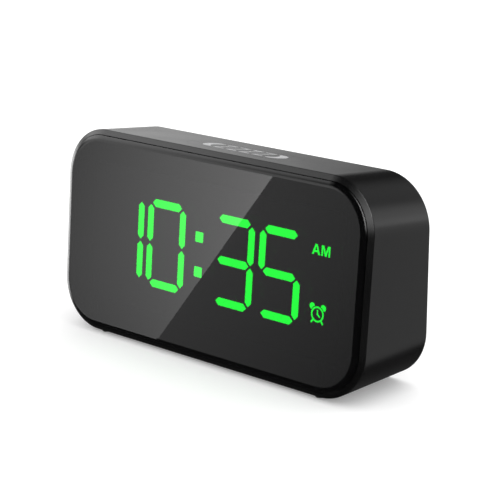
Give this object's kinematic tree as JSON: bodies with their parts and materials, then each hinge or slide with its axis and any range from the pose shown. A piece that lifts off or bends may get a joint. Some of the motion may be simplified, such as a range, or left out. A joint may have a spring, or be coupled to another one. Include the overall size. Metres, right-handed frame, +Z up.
{
  "type": "alarm clock",
  "caption": "Compact desk alarm clock with a leaning smoked front lens, green LED digits, a snooze key in the top and controls on the back.",
  "frame": {"origin": "middle of the footprint box at the surface the feet stand on", "axes": "+X right as the display is read, -Y towards the reader, +Z up"},
  "size_m": [0.1344, 0.0342, 0.071],
  "materials": {
    "case_black": "satin black moulded plastic",
    "cover_black": "fine textured black plastic",
    "lens_smoke": "polished smoked acrylic",
    "tape_black": "black adhesive tape",
    "housing_black": "black moulded plastic",
    "led_green": "lit green light diffuser",
    "segment_dark": "unlit smoked light diffuser",
    "circuit_board": "green solder mask",
    "chip_ceramic": "small ceramic chips",
    "chip_epoxy": "black epoxy",
    "screw_steel": "bright zinc plating",
    "screw_black": "black oxide screws",
    "foot_rubber": "soft black rubber",
    "capacitor_can": "sleeved aluminium can",
    "connector_white": "ivory nylon",
    "connector_steel": "nickel plated steel",
    "ribbon_white": "white flat ribbon",
    "key_black": "satin black plastic keys",
    "plunger_white": "ivory nylon plungers",
    "speaker_paper": "dark paper cone",
    "magnet_iron": "plated magnet cup",
    "lead_red": "red insulated wire"
  },
  "bodies": {
    "case": {"case_shell": "case_black", "front_lens": "lens_smoke", "lens_tape": "tape_black", "display_housing": "housing_black", "hour_tens_segments": "led_green", "hour_units_segments": "led_green", "minute_tens_segments": "led_green", "minute_units_segments": "led_green", "colon_dots": "led_green", "am_indicator": "led_green", "alarm_icon": "led_green", "unlit_segments": "segment_dark", "display_pcb": "circuit_board", "display_leds": "chip_ceramic", "display_screws": "screw_steel", "rear_cover": "cover_black", "rear_screws": "screw_black", "rubber_feet": "foot_rubber", "main_pcb": "circuit_board", "pcb_screws": "screw_steel", "clock_chip": "chip_epoxy", "driver_chip": "chip_epoxy", "crystal": "screw_steel", "capacitors": "capacitor_can", "resistors": "chip_ceramic", "ribbon_connectors": "connector_white", "display_ribbon": "ribbon_white", "key_switches": "chip_epoxy", "alarm_switch": "screw_steel", "hour_format_switch": "screw_steel", "dimmer_body": "chip_epoxy", "speaker_frame": "screw_steel", "speaker_cone": "speaker_paper", "speaker_magnet": "magnet_iron", "speaker_leads": "lead_red", "usb_shell": "connector_steel", "usb_tongue": "connector_white", "dc_jack": "cover_black", "dc_pin": "connector_steel", "coin_cell": "connector_steel", "battery_contacts": "connector_steel", "snooze_switch": "chip_epoxy", "snooze_board": "circuit_board", "snooze_screws": "screw_steel"},
    "time_button": {"time_key": "key_black", "time_plunger": "plunger_white"},
    "alarm_button": {"alarm_key": "key_black", "alarm_plunger": "plunger_white"},
    "up_button": {"up_key": "key_black", "up_plunger": "plunger_white"},
    "down_button": {"down_key": "key_black", "down_plunger": "plunger_white"},
    "snooze_button": {"snooze_key": "case_black", "snooze_plunger": "plunger_white"},
    "alarm_knob": {"alarm_slider": "key_black"},
    "hour_format_knob": {"hour_format_slider": "key_black"},
    "dimmer_dial": {"dimmer_wheel": "key_black"},
    "cell_door": {"battery_door": "cover_black"}
  },
  "joints": [
    {"name": "time_press", "type": "slide", "parent": "case", "child": "time_button", "axis": [0, -1, 0], "range_m": [0, 0.00035], "stiffness_N_per_m": 1500, "springref_m": -0.0003},
    {"name": "alarm_press", "type": "slide", "parent": "case", "child": "alarm_button", "axis": [0, -1, 0], "range_m": [0, 0.00035], "stiffness_N_per_m": 1500, "springref_m": -0.0003},
    {"name": "up_press", "type": "slide", "parent": "case", "child": "up_button", "axis": [0, -1, 0], "range_m": [0, 0.00035], "stiffness_N_per_m": 1500, "springref_m": -0.0003},
    {"name": "down_press", "type": "slide", "parent": "case", "child": "down_button", "axis": [0, -1, 0], "range_m": [0, 0.00035], "stiffness_N_per_m": 1500, "springref_m": -0.0003},
    {"name": "snooze_press", "type": "slide", "parent": "case", "child": "snooze_button", "axis": [0, 0, -1], "range_m": [0, 0.0006], "stiffness_N_per_m": 1500, "springref_m": -0.0004},
    {"name": "alarm_slide", "type": "slide", "parent": "case", "child": "alarm_knob", "axis": [-1, 0, 0], "range_m": [0, 0.003]},
    {"name": "hour_format_slide", "type": "slide", "parent": "case", "child": "hour_format_knob", "axis": [-1, 0, 0], "range_m": [0, 0.003]},
    {"name": "dimmer_turn", "type": "hinge", "parent": "case", "child": "dimmer_dial", "pos_m": [-0.0385, 0.01107, 0.048], "axis": [0, 0, 1], "range_deg": [0, 270]},
    {"name": "door_lift", "type": "slide", "parent": "case", "child": "cell_door", "axis": [0, 1, 0], "range_m": [0, 0.012]}
  ]
}
